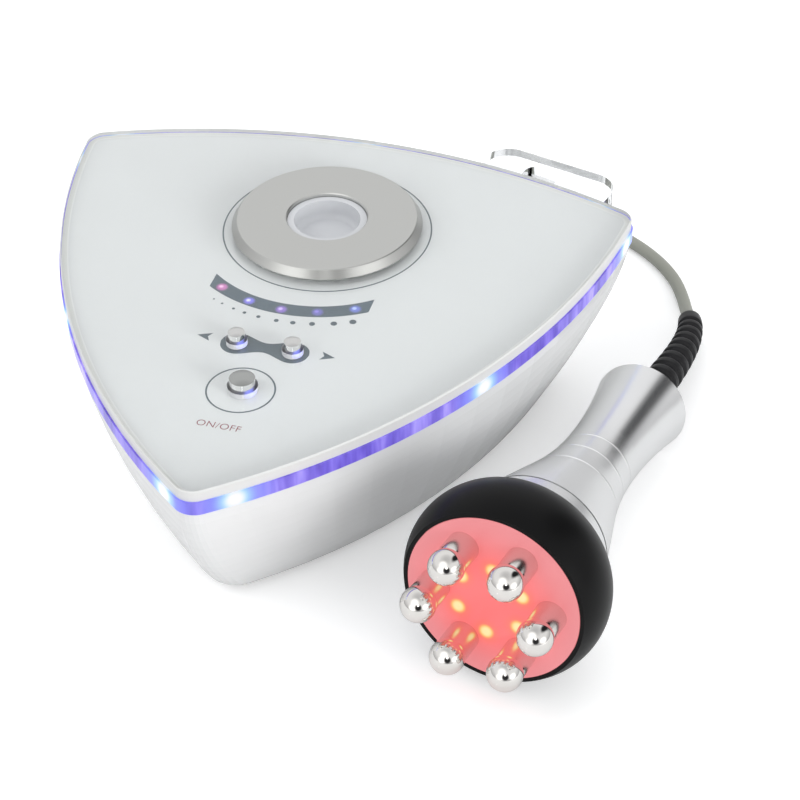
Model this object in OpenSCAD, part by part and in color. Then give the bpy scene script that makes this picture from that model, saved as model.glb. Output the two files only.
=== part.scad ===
// Facial toning device: a three-sided desktop console and a corded handpiece
// with six ball-ended electrodes, lying beside it on the table.
// Millimetres, +Z up, the table is z = 0. The origin is the middle of the footprint.

/* [Console outline] */
// Distance between the points where the three edge arcs would meet
side = 235; // [190:1:285]
// Rise of each edge arc at the top, as a share of that distance
bulge = 0.108; // [0.08:0.002:0.14]
// Radius of the three corners at the top
corner_r = 8; // [5:0.5:12]
// Size of the base, as a share of the top outline
base_scale = 0.78; // [0.74:0.01:0.86]
// Rise of each edge arc at the base
base_bulge = 0.101; // [0.08:0.002:0.14]
// Radius of the three corners at the base
base_corner_r = 12.5; // [9:0.5:16]
// How far the base sits in front of the top
base_shift = 2; // [0:0.5:4]
// Curve of the wall: 1 is straight, more is fuller under the band
wall_curve = 1.525; // [1:0.025:2]

/* [Console heights] */
// Height of the rubber feet
foot_h = 2; // [1.5:0.5:4]
// Height of the lower housing
housing_h = 64; // [53:1:80]
// Height of the light band
band_h = 5.5; // [5:0.5:8]
// Thickness of the deck of the inner frame
deck_t = 2.2; // [1.6:0.2:3]
// Thickness of the printed film under the panel
film_t = 0.3; // [0.2:0.1:0.6]
// Thickness of the clear panel
panel_t = 4.5; // [3:0.5:6]

/* [Housing] */
// Thickness of the wall
wall = 2.6; // [2:0.1:3.6]
// Thickness of the floor
floor_t = 3; // [2.5:0.5:4]
// Rounding of the edge round the base
base_round = 2.4; // [1.5:0.1:3]
// Width of the ledge that carries the band
ledge_w = 5; // [4:0.5:6]
// Height of that ledge
ledge_h = 6; // [4:0.5:8]
// Radius of the screw posts
post_r = 5.5; // [5:0.5:7]
// Height of the screw posts' tops above the floor
post_h = 29; // [24:1:32]
// Radius of a rubber foot
foot_r = 7; // [5:0.5:9]

/* [Light band] */
// How far the band stands proud of the housing
band_proud = 0.7; // [0:0.1:1.5]
// Distance of the LED strip from the outline
strip_inset = 8.4; // [8.4:0.2:10]
// Places of the LEDs along each edge, as shares of its length
band_led_at = [0.05, 0.51, 0.97];

/* [Panel] */
// Width of the unprinted edge of the panel
clear_edge = 0.6; // [0.4:0.1:4]
// Chamfer of the panel's upper edge
panel_chamfer = 0.5; // [0.2:0.1:1]

/* [Ring and cup] */
// Distance of the ring's centre behind the console's centre
ring_y = 29; // [24:0.5:32]
// Radius of the ring at its base
ring_r = 38.1; // [35:0.1:42]
// Radius of the ring's flat top
ring_top_r = 35.8; // [32:0.1:37]
// Height of the ring
ring_h = 4; // [3:0.1:6]
// Inside radius of the cup
cup_r = 13.3; // [11:0.1:14]
// Wall of the cup
cup_wall = 1.1; // [0.8:0.1:1.6]
// Depth of the cup below its rim
cup_depth = 8; // [6:0.5:12]
// Radius of the cup's rim
cup_rim_r = 15.9; // [15.5:0.1:18]
// Thickness of the cup's rim
cup_rim_t = 1; // [0.8:0.1:1.5]
// Depth of the cup's rim below the ring's top
cup_rim_drop = 1.5; // [0.5:0.1:2]

/* [Buttons] */
// Place of the on/off button in front of the console's centre
onoff_y = -75; // [-80:0.5:-70]
// Radius of the on/off cap
onoff_r = 4.75; // [4:0.05:6]
// Height of the on/off cap above the panel
onoff_proud = 3.8; // [1.5:0.1:4]
// Travel of the on/off button
onoff_travel = 1; // [0.5:0.1:1.2]
// Place of the two level buttons in front of the centre
level_y = -50; // [-54:0.5:-46]
// Half the distance between the level buttons
level_x = 10.9; // [9:0.1:14]
// Radius of the level buttons' caps
level_r = 3.15; // [2.8:0.05:4]
// Height of the level buttons above the panel
level_proud = 3.4; // [1.2:0.1:4]
// Travel of the level buttons
level_travel = 0.8; // [0.4:0.1:1.2]
// Width of the clear margin round each cap
cap_margin = 0.9; // [0.5:0.05:1.4]

/* [Level lamps] */
// Number of lamps in the row in front of the ring
lamps_n = 5; // [3:1:7]
// Radius of that row, about the ring's centre
lamp_row_r = 53.8; // [51:0.1:57]
// Angle between neighbouring lamps
lamp_step = 15.3; // [12:0.1:18]
// Radius of a lamp
lamp_r = 1.5; // [1:0.1:2]

/* [Rear recess] */
// Left and right edges of the recess in the back wall
recess_x = [-64, -12];
// Lower and upper edges of the recess
recess_z = [9, 38];
// Depth of the recess at the middle of the base
recess_in = 12; // [10:0.5:16]
// Place of the handpiece socket: across and up
socket_at = [-48, 22];
// Radius of the socket's threaded body
socket_r = 7.5; // [6:0.1:8]
// Place of the power inlet: across and up
inlet_at = [-25, 22];
// Radius of the power inlet's bore
inlet_r = 2.8; // [2.6:0.05:3.2]

/* [Handpiece holder] */
// Turn of the holder about the console's centre, from straight back
holder_turn = 15; // [12:1:18]
// Distance of the holder's middle from that line
holder_mid = 44.6; // [42:0.2:47]
// Width of the holder
holder_w = 59; // [56:1:64]
// How far the holder reaches out from the console
holder_out = 31.7; // [30:0.1:38]
// Thickness of the holder
holder_t = 8; // [5:0.5:9]
// Depth of the holder's top below the light band
holder_drop = 2; // [1.5:0.5:4]
// Radius of the holder's corners
holder_corner_r = 11; // [8:1:13]
// Width of the tongue that goes into the housing
tongue_w = 40; // [34:1:44]
// Depth of the tongue behind the console's edge
tongue_deep = 7.2; // [6:0.1:7.5]
// Width and depth of the wide end of the keyhole
eye_size = [15.4, 21];
// Length and width of the narrow end of the keyhole
slot_size = [21.9, 11];
// Thickness of the holder's bar outside the keyhole
holder_bar = 6.4; // [5:0.1:8]

/* [Head] */
// Place of the electrode face, from the middle of the console's right edge
head_off = [23.5, -74.3];
// Direction of the handle, from straight right
heading = 78.4; // [74:0.2:82]
// Radius of the black bezel's round section
bezel_tube_r = 24.2; // [23:0.1:26]
// Distance of that section's centre from the axis
bezel_ring_r = 13.5; // [12:0.1:15]
// Depth of that section's centre behind the electrode face
bezel_mid = 12.8; // [11:0.1:14]
// Depth of the bezel's rear edge
bezel_end = 32.2; // [30:0.2:33]
// Wall of the bezel
bezel_wall = 2.6; // [2:0.1:3.4]
// Radius of the red diffuser
disc_r = 32.4; // [31:0.1:32.8]
// Thickness of the diffuser
disc_t = 3; // [2:0.5:4]
// Radius of the circle that the electrodes stand on
electrode_ring_r = 21.8; // [19:0.1:23]
// Turn of the first electrode
electrode_turn = 24.8; // [0:0.2:60]
// Radius of an electrode's ball
ball_r = 6.5; // [5:0.05:7]
// Height of the balls' centres above the diffuser
ball_h = 13.3; // [10:0.1:16]
// Radius of an electrode's post
post_ball_r = 5.9; // [4:0.1:6]
// Radius of the threaded stud behind it
stud_r = 2; // [1.5:0.1:2.5]
// Radius of the circle of lights behind the diffuser
head_led_ring_r = 14; // [12:0.5:15]

/* [Handle] */
// Width of the silver flange behind the bezel
flange_w = 7; // [5:0.2:9]
// Width of the groove behind the flange
collar_w = 0.6; // [0.4:0.1:1]
// Depth of the handle's narrowest place
waist_at = 101; // [92:1:108]
// Radius of the handle there
waist_r = 14.95; // [13.5:0.05:17]
// Radius of the curve from the waist towards the head
front_curve = 135; // [120:5:150]
// Slope of the straight flare in front of that curve
flare = 15.2; // [13:0.1:16]
// Radius of the curve from the waist to the rear
rear_curve = 225; // [190:5:280]
// Depth of the handle's rear rim
handle_end = 143.5; // [136:0.5:172]
// Depths of the three grip grooves
grooves_at = [69, 81.5, 92];
// Radius of a grip groove
groove_r = 0.55; // [0.4:0.05:0.8]
// Wall of the handle
handle_wall = 2.6; // [2:0.1:3.4]

/* [Cord and plug] */
// Diameter of the cord
cord_d = 5.5; // [5:0.1:5.6]
// Radius of the strain relief at the handle
boot_r = 8; // [7:0.1:9]
// Radius of the strain relief at its tip
boot_tip_r = 5; // [4.4:0.1:5.5]
// Number of cuts in the strain relief
boot_cuts = 10; // [7:1:12]
// Depth of those cuts
cut_deep = 1.1; // [0.6:0.1:1.5]
// Radius of the plug
plug_r = 9.4; // [9:0.1:11]
// Length of the plug
plug_l = 22; // [18:1:28]
// Length of the plug's relief
plug_relief_l = 22; // [20:1:30]

/* [Fits] */
// Gap between pieces that slide past each other
slide_gap = 0.3; // [0.2:0.05:0.4]
// Gap round pieces that are set into a seat
seat_gap = 0.2; // [0.1:0.05:0.3]
// Gap of screws, studs and threads in their holes
shank_gap = 0.05; // [0.02:0.01:0.1]

/* [Hidden] */
$fn = 64;
eps = 0.01;

// Place of the console's centre in the frame
console_at = [-16.9, 12.29];

// Heights of the console's layers above the table
base_z = foot_h;
floor_z = base_z + floor_t;
band_z = base_z + housing_h;
panel_z = band_z + band_h;
film_z = panel_z - film_t;
deck_z = film_z - deck_t;
top_z = panel_z + panel_t;

// ---- Outline: three arcs of radius edge_r, centred edge_c beyond the middle ----
function edge_r(s, b) = (s * s / 4 + pow(b * s, 2)) / (2 * b * s);
function edge_c(s, b) = edge_r(s, b) - s / (2 * sqrt(3)) - b * s;
function edge_reach(s, b) = s / (2 * sqrt(3)) + b * s;
function corner_c(s, b, rc) =
    (sqrt(4 * pow(edge_r(s, b) - rc, 2) - 3 * pow(edge_c(s, b), 2)) - edge_c(s, b)) / 2;
function corner_half(s, b, rc) =
    atan(edge_c(s, b) * sin(60) / (corner_c(s, b, rc) + edge_c(s, b) / 2));
function polar(r, a) = [r * cos(a), r * sin(a)];

// Points of the outline drawn in by inset, from the front corner round to the left:
// corner_n steps round each corner and edge_n along each edge
function outline(s, b, rc, inset, corner_n = 6, edge_n = 14) = [
    for (i = [0:2])
        let (a = 120 * i - 90, h = corner_half(s, b, rc))
            each concat(
                [for (k = [0:corner_n])
                    polar(corner_c(s, b, rc), a)
                        + polar(rc - inset, a - h + 2 * h * k / corner_n)],
                [for (k = [1:edge_n - 1])
                    polar(-edge_c(s, b), a + 60)
                        + polar(edge_r(s, b) - inset, a + h + (120 - 2 * h) * k / edge_n)]
            )
];

// The top outline with true arcs, from z up to z + h
top_edge_r = edge_r(side, bulge);
top_edge_c = edge_c(side, bulge);
top_corner_c = corner_c(side, bulge, corner_r);
top_half = corner_half(side, bulge, corner_r);
module slab(inset, z, h) {
    sector = 6 * corner_r;
    translate([0, 0, z]) {
        difference() {
            intersection_for (i = [0:2])
                translate(polar(-top_edge_c, 120 * i - 30))
                    cylinder(h = h, r = top_edge_r - inset, $fn = 240);
            if (inset < corner_r)
                for (i = [0:2])
                    rotate(120 * i - 90) translate([top_corner_c, 0, -1])
                        linear_extrude(h + 2)
                            polygon([[0, 0], polar(sector, -top_half), [sector, 0],
                                polar(sector, top_half)]);
        }
        if (inset < corner_r)
            for (i = [0:2])
                translate(polar(top_corner_c, 120 * i - 90))
                    cylinder(h = h, r = corner_r - inset, $fn = 240);
    }
}

// The housing narrows from the band to the base; w runs from 0 at the band to 1
function narrow(z) = pow(min(max((band_z - z) / housing_h, 0), 1), wall_curve);
function level(z, inset) =
    let (w = narrow(z))
        [for (p = outline(side * (1 - (1 - base_scale) * w), bulge + (base_bulge - bulge) * w,
                corner_r + (base_corner_r - corner_r) * w, inset))
            [p[0], p[1] - base_shift * w, z]];

// Closes a stack of rings into a solid: all have the same number of points, and run
// anticlockwise as seen from the last ring
module skin(rings) {
    n = len(rings[0]);
    m = len(rings);
    polyhedron(
        points = [for (r = rings) each r],
        faces = concat(
            [[for (i = [0:n - 1]) i]],
            [for (k = [0:m - 2], i = [0:n - 1])
                [k * n + i, (k + 1) * n + (i + 1) % n, k * n + (i + 1) % n]],
            [for (k = [0:m - 2], i = [0:n - 1])
                [k * n + i, (k + 1) * n + i, (k + 1) * n + (i + 1) % n]],
            [[for (i = [n - 1:-1:0]) (m - 1) * n + i]]
        )
    );
}

// Rectangle between two corners, with round corners of its own
module rounded(low, high, r) {
    translate([low[0] + r, low[1]]) square([high[0] - low[0] - 2 * r, high[1] - low[1]]);
    translate([low[0], low[1] + r]) square([high[0] - low[0], high[1] - low[1] - 2 * r]);
    for (x = [low[0] + r, high[0] - r], y = [low[1] + r, high[1] - r])
        translate([x, y]) circle(r);
}

module at_console() translate([console_at[0], console_at[1], 0]) children();

// ---- Lower housing, with its feet and screws ----
base_side = side * base_scale;
base_reach = edge_reach(base_side, base_bulge);
post_ring = base_reach - wall - post_r - 4;
foot_ring = corner_c(base_side, base_bulge, base_corner_r) - foot_r - 4;
post_at = [for (i = [0:2]) polar(post_ring, 120 * i - 30) - [0, base_shift]];
foot_at = [for (i = [0:2]) polar(foot_ring, 120 * i - 90) - [0, base_shift]];
post_top = floor_z + post_h;
head_seat = post_top - 4;
shank_r = 1.45;
foot_seat = 1;

board_size = [70, 56];
board_t = 1.6;
standoff_h = 6;
standoff_r = 3.2;
tapped_r = 1.1;
board_z = floor_z + standoff_h;
on_board = board_z + board_t;
board_corners = [for (x = [-1, 1], y = [-1, 1])
    [x * (board_size[0] / 2 - 4), y * (board_size[1] / 2 - 4)]];

recess_y = base_reach - base_shift - recess_in;
module recess_box(grow) {
    translate([recess_x[0] - grow, recess_y - grow, recess_z[0] - grow])
        cube([recess_x[1] - recess_x[0] + 2 * grow, side,
            recess_z[1] - recess_z[0] + 2 * grow]);
}

module housing_body() {
    round_n = 3;
    walls_n = 11;
    straight_z = base_z + base_round;
    skin(concat(
        [for (k = [0:round_n - 1])
            let (a = 90 * k / round_n)
                level(base_z + base_round * (1 - cos(a)), base_round * (1 - sin(a)))],
        [for (k = [0:walls_n])
            level(straight_z + (band_z - straight_z) * k / walls_n, 0)]
    ));
}

module housing_room() {
    room_n = 9;
    room_h = housing_h - floor_t - ledge_h;
    skin([for (k = [0:room_n]) level(floor_z + room_h * k / room_n, wall)]);
    slab(ledge_w, band_z - ledge_h - 1, ledge_h + 2);
}

module lower_housing() color("white") at_console() difference() {
    union() {
        difference() {
            housing_body();
            difference() {
                housing_room();
                recess_box(wall);
            }
        }
        for (p = post_at)
            translate([p[0], p[1], base_z + 1]) cylinder(h = post_top - base_z - 1, r = post_r);
        for (p = board_corners)
            translate([p[0], p[1], base_z + 1]) cylinder(h = board_z - base_z - 1, r = standoff_r);
    }
    recess_box(0);
    for (p = post_at) translate([p[0], p[1], 0]) {
        cylinder(h = head_seat, r = 4);
        cylinder(h = post_top + 1, r = shank_r + slide_gap);
    }
    for (p = board_corners)
        translate([p[0], p[1], floor_z]) cylinder(h = 20, r = tapped_r + shank_gap);
    for (p = foot_at)
        translate([p[0], p[1], 0]) cylinder(h = base_z + foot_seat, r = foot_r + seat_gap);
    translate([socket_at[0], recess_y + 1, socket_at[1]])
        rotate([90, 0, 0]) cylinder(h = wall + 2, r = socket_r + seat_gap);
    translate([inlet_at[0] - inlet_w / 2 - seat_gap, recess_y - wall - 1,
            inlet_at[1] - inlet_h / 2 - seat_gap])
        cube([inlet_w + 2 * seat_gap, wall + 2, inlet_h + 2 * seat_gap]);
    at_holder() translate([-tongue_w / 2 - seat_gap, holder_edge - 20, holder_z - seat_gap])
        cube([tongue_w + 2 * seat_gap, 40, holder_t + 2 * seat_gap]);
}

module rubber_feet() color("dimgray") at_console()
    for (p = foot_at)
        translate([p[0], p[1], 0]) union() {
            cylinder(h = foot_h + foot_seat, r = foot_r - 0.8);
            translate([0, 0, 0.8]) cylinder(h = foot_h + foot_seat - 0.8, r = foot_r);
        }

module housing_screws() color("silver") at_console()
    for (p = post_at)
        translate([p[0], p[1], head_seat]) difference() {
            union() {
                translate([0, 0, -2.2]) cylinder(h = 2.2, r = 2.8);
                translate([0, 0, -1]) cylinder(h = 17, r = shank_r);
            }
            translate([0, 0, -3]) cylinder(h = 2, r = 1.3, $fn = 6);
        }

// ---- Light band, its strip and its LEDs ----
module light_band() color("mediumslateblue") at_console() difference() {
    slab(-band_proud, band_z, band_h);
    slab(ledge_w, band_z - 1, band_h + 2);
    slab(clear_edge - seat_gap, film_z, 1);
}

strip_t = 0.4;
strip_h = deck_z - band_z - 0.4;
module band_strip() color("ivory") at_console() difference() {
    slab(strip_inset, deck_z - strip_h, strip_h);
    slab(strip_inset + strip_t, band_z - 1, band_h);
}

led_size = [2.2, 3.4, 2];
module band_leds() color("lightcyan") at_console()
    for (i = [0:2], f = band_led_at)
        translate(polar(-top_edge_c, 120 * i - 30))
            rotate(120 * i - 90 + top_half + (120 - 2 * top_half) * f)
                translate([top_edge_r - strip_inset + 0.02, -led_size[1] / 2,
                        deck_z - strip_h / 2 - led_size[2] / 2])
                    cube(led_size);

// ---- Inner frame, printed film and clear panel ----
skirt_h = 6.4;
skirt_t = 2.2;
post_len = 8.5;
control_z = deck_z - post_len;
control_posts = [[-30, -31], [30, -31], [-11, -86], [11, -86]];
cup_hole_r = cup_r + cup_wall + slide_gap;
level_at = [[-level_x, level_y], [level_x, level_y]];
lamps_at = [for (k = [0:lamps_n - 1])
    [0, ring_y] + polar(lamp_row_r, lamp_step * (k - (lamps_n - 1) / 2) - 90)];

module button_holes(z, h, margin) {
    translate([0, onoff_y, z]) cylinder(h = h, r = onoff_r + margin);
    for (p = level_at)
        translate([p[0], p[1], z]) cylinder(h = h, r = level_r + margin);
}
module cup_hole(z, h) translate([0, ring_y, z]) cylinder(h = h, r = cup_hole_r);

module top_frame() color("whitesmoke") at_console() difference() {
    union() {
        slab(ledge_w + seat_gap, deck_z, deck_t);
        difference() {
            slab(strip_inset + strip_t, deck_z - skirt_h, skirt_h + eps);
            slab(strip_inset + strip_t + skirt_t, deck_z - skirt_h - 1, skirt_h + 1);
        }
        for (p = post_at)
            translate([p[0], p[1], post_top]) cylinder(h = deck_z - post_top + eps, r = post_r - 1);
        for (p = control_posts)
            translate([p[0], p[1], control_z]) cylinder(h = post_len + eps, r = 2.6);
    }
    for (p = post_at)
        translate([p[0], p[1], post_top - 1]) cylinder(h = 16, r = shank_r + shank_gap);
    for (p = control_posts)
        translate([p[0], p[1], control_z - 1]) cylinder(h = 7, r = tapped_r + shank_gap);
    cup_hole(deck_z - 1, deck_t + 2);
    button_holes(deck_z - 1, deck_t + 2, slide_gap);
    for (p = lamps_at)
        translate([p[0], p[1], deck_z - 1]) cylinder(h = deck_t + 2, r = lamp_r + seat_gap);
}

module printed_film() color("aliceblue") at_console() difference() {
    slab(clear_edge, film_z, film_t);
    cup_hole(film_z - 1, film_t + 2);
    button_holes(film_z - 1, film_t + 2, cap_margin);
}

module top_panel() color("azure") at_console() difference() {
    skin([for (f = [[0, 0], [panel_t - panel_chamfer, 0], [panel_t, panel_chamfer]])
        [for (p = outline(side, bulge, corner_r, f[1], 9, 36)) [p[0], p[1], panel_z + f[0]]]]);
    cup_hole(panel_z - 1, panel_t + 2);
    button_holes(panel_z - 1, panel_t + 2, cap_margin);
}

// ---- Metal ring with the cup in its middle; sections are [radius, height] ----
ring_top = top_z + ring_h;
cup_rim_z = ring_top - cup_rim_drop;
cup_seat_r = cup_rim_r + seat_gap;
module metal_ring() color("silver") at_console() translate([0, ring_y, 0])
    rotate_extrude($fn = 128) polygon([
        [cup_hole_r, top_z], [ring_r - 0.4, top_z], [ring_r, top_z + 0.4],
        [ring_r, top_z + 0.8], [ring_top_r + 0.3, ring_top - 0.2], [ring_top_r, ring_top],
        [cup_seat_r + 0.4, ring_top], [cup_seat_r, ring_top - 0.4],
        [cup_seat_r, cup_rim_z - cup_rim_t], [cup_hole_r, cup_rim_z - cup_rim_t]
    ]);

cup_floor = cup_rim_z - cup_depth;
cup_round = 2.5;
module cup_section(r, low, high, round) {
    translate([0, low]) square([r - round, round]);
    translate([0, low + round]) square([r, high - low - round]);
    intersection() {
        translate([r - round, low + round]) circle(round);
        square([r, high]);
    }
}
module centre_cup() color("ghostwhite") at_console() translate([0, ring_y, 0])
    rotate_extrude($fn = 96) difference() {
        union() {
            cup_section(cup_r + cup_wall, cup_floor - cup_wall, cup_rim_z, cup_round + cup_wall);
            translate([0, cup_rim_z - cup_rim_t]) square([cup_rim_r, cup_rim_t]);
        }
        cup_section(cup_r, cup_floor, cup_rim_z + 1, cup_round);
    }

// ---- Buttons: a domed cap, a stop flange and a stem down into a key switch ----
stem_r = 1.5;
stem_in = 1.6;
stop_t = 1;
stop_w = 1.2;
switch_size = [6, 6, 4];
switch_top = control_z + switch_size[2];
switch_deep = stem_in + max(onoff_travel, level_travel) + slide_gap;
module button(p, r, proud) {
    stop_z = deck_z - slide_gap;
    dome = r * 0.14;
    ball = (r * r + dome * dome) / (2 * dome);
    translate([p[0], p[1], 0]) union() {
        translate([0, 0, switch_top - stem_in])
            cylinder(h = stop_z - switch_top + stem_in, r = stem_r);
        translate([0, 0, stop_z - stop_t]) cylinder(h = stop_t, r = r + stop_w);
        intersection() {
            translate([0, 0, stop_z - eps]) cylinder(h = top_z + proud - stop_z, r = r);
            translate([0, 0, top_z + proud - ball]) sphere(ball, $fn = 128);
        }
    }
}

module on_off_button() color("silver") at_console() button([0, onoff_y], onoff_r, onoff_proud);
module level_down_button() color("silver") at_console()
    button(level_at[0], level_r, level_proud);
module level_up_button() color("silver") at_console()
    button(level_at[1], level_r, level_proud);

// ---- Control board, with the key switches and the level lamps on it ----
module control_board() color("darkgreen") at_console() difference() {
    translate([0, 0, control_z - board_t]) linear_extrude(board_t)
        polygon([[-36, -12], [36, -12], [36, -58], [16, -91], [-16, -91], [-36, -58]]);
    for (p = control_posts)
        translate([p[0], p[1], control_z - 5]) cylinder(h = 10, r = tapped_r + seat_gap);
}

module key_switches() color("dimgray") at_console()
    for (p = concat([[0, onoff_y]], level_at))
        translate([p[0], p[1], control_z]) difference() {
            translate([-switch_size[0] / 2, -switch_size[1] / 2, 0]) cube(switch_size);
            translate([0, 0, switch_size[2] - switch_deep])
                cylinder(h = switch_deep + 1, r = stem_r + slide_gap);
        }

module level_lamps() color("plum") at_console()
    for (p = lamps_at)
        translate([p[0], p[1], control_z]) union() {
            cylinder(h = 2, r = lamp_r + 0.4);
            cylinder(h = post_len + deck_t - seat_gap, r = lamp_r);
        }

ribbon_y = -20;
ribbon_w = 14;
module ribbon_cable() color("gray") at_console() {
    rise = control_z - board_t - on_board;
    translate([-ribbon_w / 2, ribbon_y - 0.4, on_board + 1])
        cube([ribbon_w, 0.8, rise - 2]);
    for (z = [on_board, on_board + rise - 4])
        translate([-ribbon_w / 2 - 1.5, ribbon_y - 2.5, z]) cube([ribbon_w + 3, 5, 4]);
}

// ---- Main board, with the parts that drive the handpiece ----
module main_board() color("seagreen") at_console() difference() {
    translate([-board_size[0] / 2, -board_size[1] / 2, board_z])
        cube([board_size[0], board_size[1], board_t]);
    for (p = board_corners)
        translate([p[0], p[1], board_z - 1]) cylinder(h = 4, r = tapped_r + seat_gap);
}

module rf_transformer() color("peru") at_console()
    translate([-16, 4, on_board]) union() {
        translate([-12, -10, 0]) cube([24, 20, 4]);
        translate([0, 0, 3]) cylinder(h = 12, r = 8.4);
        translate([-12, -10, 14]) cube([24, 20, 4]);
        for (x = [-12, 9]) translate([x, -10, 3]) cube([3, 20, 12]);
    }

module heat_sink() color("lightgray") at_console()
    translate([8, -14, on_board]) union() {
        cube([24, 3, 22]);
        for (k = [0:5]) translate([k * 4.4, 2, 0]) cube([2, 12, 22]);
    }

module capacitors() color("darkslateblue") at_console()
    for (c = [[4, 16, 4, 16], [14, 16, 4, 16], [24, 12, 5, 20]])
        translate([c[0], c[1], on_board]) cylinder(h = c[3], r = c[2]);

module board_screws() color("silver") at_console() {
    for (p = board_corners)
        translate([p[0], p[1], on_board]) union() {
            cylinder(h = 1.6, r = 2.2);
            translate([0, 0, -6]) cylinder(h = 6.5, r = tapped_r);
        }
    for (p = control_posts)
        translate([p[0], p[1], control_z - board_t]) union() {
            translate([0, 0, -1.6]) cylinder(h = 1.6, r = 2.2);
            translate([0, 0, -0.5]) cylinder(h = 6.5, r = tapped_r);
        }
}

// ---- Sockets in the rear recess ----
inlet_w = 12;
inlet_h = 11;
inlet_deep = 13;
inlet_bore = 9;
lip_t = 1.6;
thread_out = 5;
socket_well = 4;
module handpiece_socket() color("darkgray") at_console()
    translate([socket_at[0], recess_y, socket_at[1]]) rotate([-90, 0, 0]) difference() {
        union() {
            cylinder(h = lip_t, r = socket_r + 2);
            translate([0, 0, -wall - 9]) cylinder(h = wall + 9 + thread_out, r = socket_r);
        }
        translate([0, 0, thread_out - socket_well])
            cylinder(h = socket_well + 1, r = socket_r - 1.5);
    }

module socket_nut() color("silver") at_console()
    translate([socket_at[0], recess_y - wall, socket_at[1]]) rotate([90, 0, 0])
        difference() {
            cylinder(h = 3, r = socket_r + 3, $fn = 6);
            translate([0, 0, -1]) cylinder(h = 5, r = socket_r + shank_gap);
        }

module power_inlet() color("black") at_console()
    translate([inlet_at[0], recess_y, inlet_at[1]]) rotate([-90, 0, 0]) union() {
        difference() {
            union() {
                translate([-inlet_w / 2, -inlet_h / 2, -inlet_deep])
                    cube([inlet_w, inlet_h, inlet_deep + 1]);
                translate([-inlet_w / 2 - 1, -inlet_h / 2 - 1, 0])
                    cube([inlet_w + 2, inlet_h + 2, 1]);
            }
            translate([0, 0, 1 - inlet_bore]) cylinder(h = inlet_bore + 1, r = inlet_r);
        }
        translate([0, 0, -inlet_bore]) cylinder(h = inlet_bore, r = 1);
    }

// ---- Clear holder with a keyhole for the handpiece's cord ----
holder_z = band_z - holder_drop - holder_t;
holder_edge = sqrt(pow(top_edge_r, 2) - pow(holder_mid - top_edge_c * sin(holder_turn), 2))
    - top_edge_c * cos(holder_turn);
holder_end = holder_edge + holder_out;
module at_holder() rotate(-holder_turn) translate([holder_mid, 0, 0]) children();

module keyhole() {
    eye_end = holder_end - holder_bar;
    eye_x = eye_size[0] * 0.65;
    rounded([-eye_x, eye_end - eye_size[1]], [eye_size[0] - eye_x, eye_end], 7);
    rounded([0, eye_end - eye_size[1] - 1], [slot_size[0], eye_end - eye_size[1] + 10], 4);
}

module handpiece_holder() color("lightcyan") at_console() union() {
    difference() {
        at_holder() translate([0, 0, holder_z]) linear_extrude(holder_t) difference() {
            rounded([-holder_w / 2, holder_edge - 14], [holder_w / 2, holder_end],
                holder_corner_r);
            keyhole();
        }
        slab(-seat_gap, holder_z - 1, holder_t + 2);
    }
    at_holder() translate([-tongue_w / 2, holder_edge - tongue_deep, holder_z])
        cube([tongue_w, tongue_deep + 2, holder_t]);
}

// ---- Handpiece: a solid of revolution whose bezel and rear rim rest on the table ----
// Sections are [radius, depth behind the electrode face].
rear_r = waist_r + rear_curve - sqrt(pow(rear_curve, 2) - pow(handle_end - waist_at, 2));
rest_x = handle_end - bezel_mid;
rest_y = rear_r - bezel_ring_r;
tilt = asin(bezel_tube_r / norm([rest_x, rest_y])) - atan(rest_y / rest_x);
head_z = handle_end * sin(tilt) + rear_r * cos(tilt);
head_at = polar(edge_reach(side, bulge), -30) + head_off;
module at_handpiece()
    at_console() translate([head_at[0], head_at[1], head_z]) rotate([0, 90 + tilt, heading])
        children();

flange_end = bezel_end + flange_w;
handle_start = flange_end + collar_w;
flare_end = waist_at - front_curve * sin(flare);
flare_r = waist_r + front_curve * (1 - cos(flare));
function arc_r(curve, s) = waist_r + curve - sqrt(pow(curve, 2) - pow(s - waist_at, 2));
function handle_r(s) =
    s < flare_end ? flare_r + (flare_end - s) * tan(flare)
    : arc_r(s < waist_at ? front_curve : rear_curve, s);

// Section of the handle between two depths, drawn in by inset
module handle_section(inset, low, high) difference() {
    slope = inset / cos(flare);
    polygon([[0, low], [handle_r(low) - slope, low], [flare_r - slope, flare_end],
        [rear_r + 5, flare_end], [rear_r + 5, high], [0, high]]);
    translate([waist_r + front_curve, waist_at]) circle(front_curve + inset, $fn = 360);
    intersection() {
        translate([waist_r + rear_curve, waist_at]) circle(rear_curve + inset, $fn = 360);
        translate([0, waist_at]) square([rear_r + 10, high]);
    }
}

cap_t = 2.7;
cap_seat = handle_end - cap_t - 0.3;
cap_r = rear_r - handle_wall + seat_gap;
module handle_shell() color("silver") at_handpiece() rotate_extrude($fn = 128) difference() {
    handle_section(0, handle_start, handle_end);
    handle_section(handle_wall, handle_start - eps, cap_seat + eps);
    translate([0, cap_seat]) square([cap_r + seat_gap, 10]);
    for (s = grooves_at) translate([handle_r(s), s]) circle(groove_r);
}

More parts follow.
